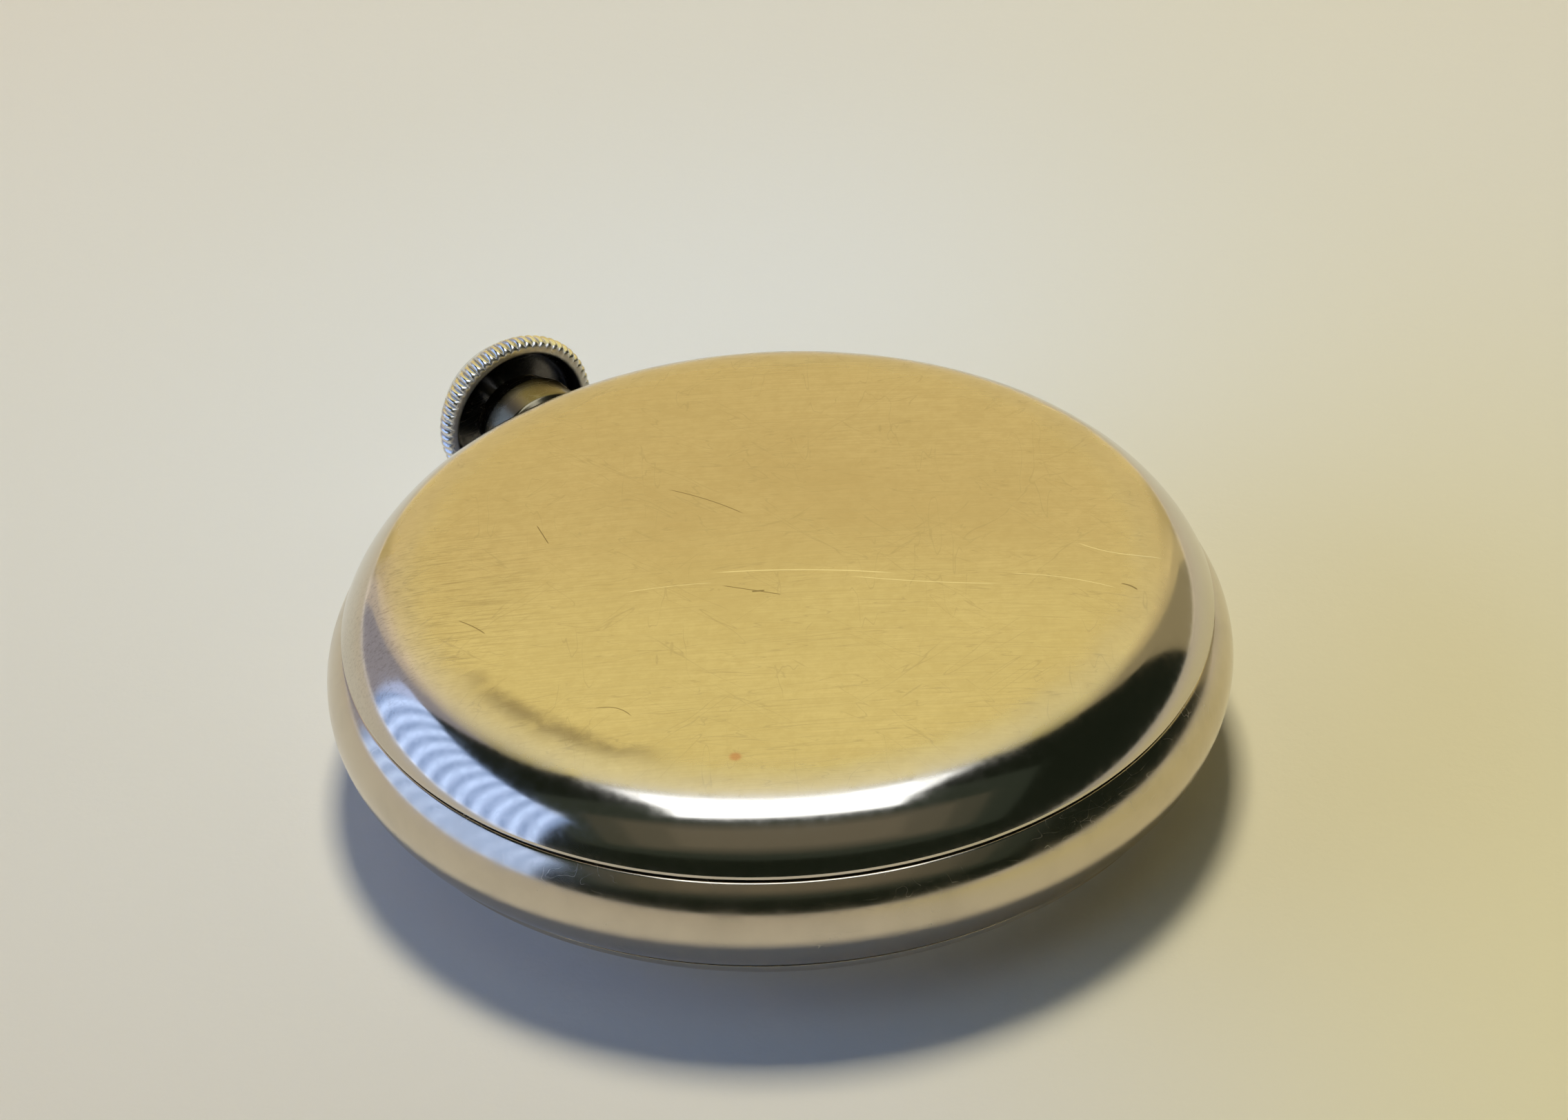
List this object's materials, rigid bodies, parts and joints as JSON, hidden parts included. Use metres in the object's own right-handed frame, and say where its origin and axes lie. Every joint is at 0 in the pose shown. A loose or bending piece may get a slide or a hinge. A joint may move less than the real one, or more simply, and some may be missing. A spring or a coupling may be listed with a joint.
{
  "type": "pocket watch",
  "caption": "Open-face pocket watch with a plain polished screw back, fluted crown, bowless pendant and a complete going movement under a flat-topped crystal.",
  "frame": {"origin": "centre of the crystal's flat facet, the lowest point of the watch as it lies", "axes": "+Z out of the case back, +Y along the winding stem to the crown"},
  "size_m": [0.05, 0.0588, 0.0133],
  "materials": {
    "case_metal": "satin disc with fine scratches, polished shoulder and band",
    "crown_metal": "polished, fluted grip",
    "glass": "polished clear crystal",
    "gasket": "thin dark joint ring",
    "plate": "frosted nickel plate",
    "brass": "gilded, fine turned finish",
    "steel": "plain grey steel",
    "polished_steel": "mirror polished steel",
    "blued_steel": "heat blued steel",
    "ruby": "polished synthetic ruby",
    "enamel": "fired white enamel"
  },
  "bodies": {
    "case": {"case_middle": "case_metal", "pendant": "case_metal", "pendant_sleeve": "brass", "main_plate": "plate", "barrel_bridge": "plate", "train_bridge": "plate", "balance_cock": "plate", "pallet_cock": "plate", "case_screws": "blued_steel", "barrel_bridge_screws": "blued_steel", "train_bridge_screws": "blued_steel", "cock_screws": "blued_steel", "train_jewels": "ruby", "balance_jewels": "ruby", "crown_wheel_screw": "blued_steel", "click_spring": "steel", "yoke_spring": "steel", "hairspring": "blued_steel", "hairspring_stud": "steel", "dial": "enamel"},
    "back_ring": {"back_gasket": "gasket"},
    "back": {"back_cover": "case_metal"},
    "front_ring": {"bezel_gasket": "gasket"},
    "front": {"bezel": "case_metal", "crystal": "glass"},
    "winder": {"winding_pinion": "steel"},
    "stem": {"winding_stem": "steel", "crown": "crown_metal"},
    "clutch": {"clutch_wheel": "steel"},
    "crown_wheel": {"crown_wheel": "polished_steel"},
    "ratchet": {"ratchet_wheel": "polished_steel", "ratchet_screw": "blued_steel", "barrel_arbor": "steel"},
    "click": {"click": "polished_steel"},
    "setting_lever": {"setting_lever": "steel"},
    "yoke": {"yoke": "steel"},
    "setting": {"setting_wheel": "brass"},
    "barrel": {"mainspring_barrel": "brass", "barrel_cover": "brass", "mainspring": "blued_steel"},
    "centre": {"centre_wheel": "brass", "centre_pinion": "polished_steel", "cannon_pinion": "polished_steel", "minute_hand": "blued_steel"},
    "third": {"third_wheel": "brass", "third_pinion": "polished_steel"},
    "fourth": {"fourth_wheel": "brass", "fourth_pinion": "polished_steel", "second_hand": "blued_steel"},
    "escape": {"escape_wheel": "brass", "escape_pinion": "polished_steel"},
    "fork": {"pallet_fork": "polished_steel", "pallet_stones": "ruby"},
    "balance": {"balance_wheel": "brass", "timing_screws": "brass", "balance_staff": "polished_steel"},
    "regulator": {"regulator": "polished_steel"},
    "minute_work": {"minute_wheel": "brass"},
    "hour_work": {"hour_wheel": "brass", "hour_hand": "blued_steel"}
  },
  "joints": [
    {"name": "back_lift", "type": "slide", "parent": "case", "child": "back_ring", "axis": [0, 0, 1], "range_m": [0, 0.00151]},
    {"name": "back_turn", "type": "hinge", "parent": "back_ring", "child": "back", "pos_m": [0, 0, 0.009], "axis": [0, 0, 1], "range_deg": [0, 1080]},
    {"name": "bezel_lift", "type": "slide", "parent": "case", "child": "front_ring", "axis": [0, 0, -1], "range_m": [0, 0.00126]},
    {"name": "bezel_turn", "type": "hinge", "parent": "front_ring", "child": "front", "pos_m": [0, 0, 0.003], "axis": [0, 0, -1], "range_deg": [0, 900]},
    {"name": "crown_turn", "type": "hinge", "parent": "case", "child": "winder", "pos_m": [0, 0.0172, 0.006], "axis": [0, 1, 0], "continuous": true},
    {"name": "crown_pull", "type": "slide", "parent": "winder", "child": "stem", "axis": [0, 1, 0], "range_m": [0, 0.001]},
    {"name": "clutch_shift", "type": "slide", "parent": "winder", "child": "clutch", "axis": [0, 1, 0], "range_m": [-0.00076, 0]},
    {"name": "setting_lever_turn", "type": "hinge", "parent": "case", "child": "setting_lever", "pos_m": [0.003, 0.0192, 0.004], "axis": [0, 0, 1], "range_deg": [-19.2, 0]},
    {"name": "yoke_turn", "type": "hinge", "parent": "case", "child": "yoke", "pos_m": [-0.0045, 0.0146, 0.0048], "axis": [0, 0, 1], "range_deg": [-11.6, 0]},
    {"name": "crown_wheel_turn", "type": "hinge", "parent": "case", "child": "crown_wheel", "pos_m": [0, 0.01301, 0.0087], "axis": [0, 0, 1], "continuous": true},
    {"name": "ratchet_turn", "type": "hinge", "parent": "case", "child": "ratchet", "pos_m": [0.00622, 0.00622, 0.0087], "axis": [0, 0, 1], "continuous": true},
    {"name": "click_lift", "type": "hinge", "parent": "case", "child": "click", "pos_m": [0.01176, 0.0019, 0.0087], "axis": [0, 0, 1], "range_deg": [-10, 0]},
    {"name": "barrel_turn", "type": "hinge", "parent": "case", "child": "barrel", "pos_m": [0.00622, 0.00622, 0.007], "axis": [0, 0, 1], "continuous": true},
    {"name": "centre_turn", "type": "hinge", "parent": "case", "child": "centre", "pos_m": [0, 0, 0.007], "axis": [0, 0, 1], "continuous": true},
    {"name": "third_turn", "type": "hinge", "parent": "case", "child": "third", "pos_m": [0.00451, -0.00562, 0.007], "axis": [0, 0, 1], "continuous": true},
    {"name": "fourth_turn", "type": "hinge", "parent": "case", "child": "fourth", "pos_m": [0, -0.0095, 0.007], "axis": [0, 0, 1], "continuous": true},
    {"name": "escape_turn", "type": "hinge", "parent": "case", "child": "escape", "pos_m": [-0.00496, -0.01131, 0.007], "axis": [0, 0, 1], "continuous": true},
    {"name": "minute_work_turn", "type": "hinge", "parent": "case", "child": "minute_work", "pos_m": [0, 0.0036, 0.0039], "axis": [0, 0, 1], "continuous": true},
    {"name": "hour_work_turn", "type": "hinge", "parent": "case", "child": "hour_work", "pos_m": [0, 0, 0.0035], "axis": [0, 0, 1], "continuous": true},
    {"name": "setting_turn", "type": "hinge", "parent": "case", "child": "setting", "pos_m": [0, 0.00915, 0.0043], "axis": [0, 0, 1], "continuous": true},
    {"name": "balance_swing", "type": "hinge", "parent": "case", "child": "balance", "pos_m": [-0.01072, -0.00474, 0.009], "axis": [0, 0, 1], "range_deg": [-22, 22]},
    {"name": "fork_swing", "type": "hinge", "parent": "case", "child": "fork", "pos_m": [-0.00827, -0.00899, 0.007], "axis": [0, 0, 1], "range_deg": [-5, 5]},
    {"name": "regulator_turn", "type": "hinge", "parent": "case", "child": "regulator", "pos_m": [-0.01072, -0.00474, 0.011], "axis": [0, 0, 1], "range_deg": [-15, 15]}
  ],
  "couplings": [
    {"joint": "back_lift", "follows": "back_turn", "m_per_rad": 0.000079577},
    {"joint": "bezel_lift", "follows": "bezel_turn", "m_per_rad": 0.000079577},
    {"joint": "clutch_shift", "follows": "crown_pull", "ratio": -0.75},
    {"joint": "setting_lever_turn", "follows": "crown_pull", "rad_per_m": -333.33},
    {"joint": "yoke_turn", "follows": "crown_pull", "rad_per_m": -200},
    {"joint": "crown_wheel_turn", "follows": "crown_turn", "ratio": -0.56667},
    {"joint": "ratchet_turn", "follows": "crown_turn", "ratio": 0.47222},
    {"joint": "centre_turn", "follows": "fourth_turn", "ratio": 0.016667},
    {"joint": "third_turn", "follows": "fourth_turn", "ratio": -0.13333},
    {"joint": "escape_turn", "follows": "fourth_turn", "ratio": -10},
    {"joint": "barrel_turn", "follows": "fourth_turn", "ratio": -0.0021368},
    {"joint": "minute_work_turn", "follows": "fourth_turn", "ratio": -0.0055556},
    {"joint": "hour_work_turn", "follows": "fourth_turn", "ratio": 0.0013889},
    {"joint": "setting_turn", "follows": "fourth_turn", "ratio": 0.0052632},
    {"joint": "fork_swing", "follows": "balance_swing", "ratio": -0.225}
  ]
}
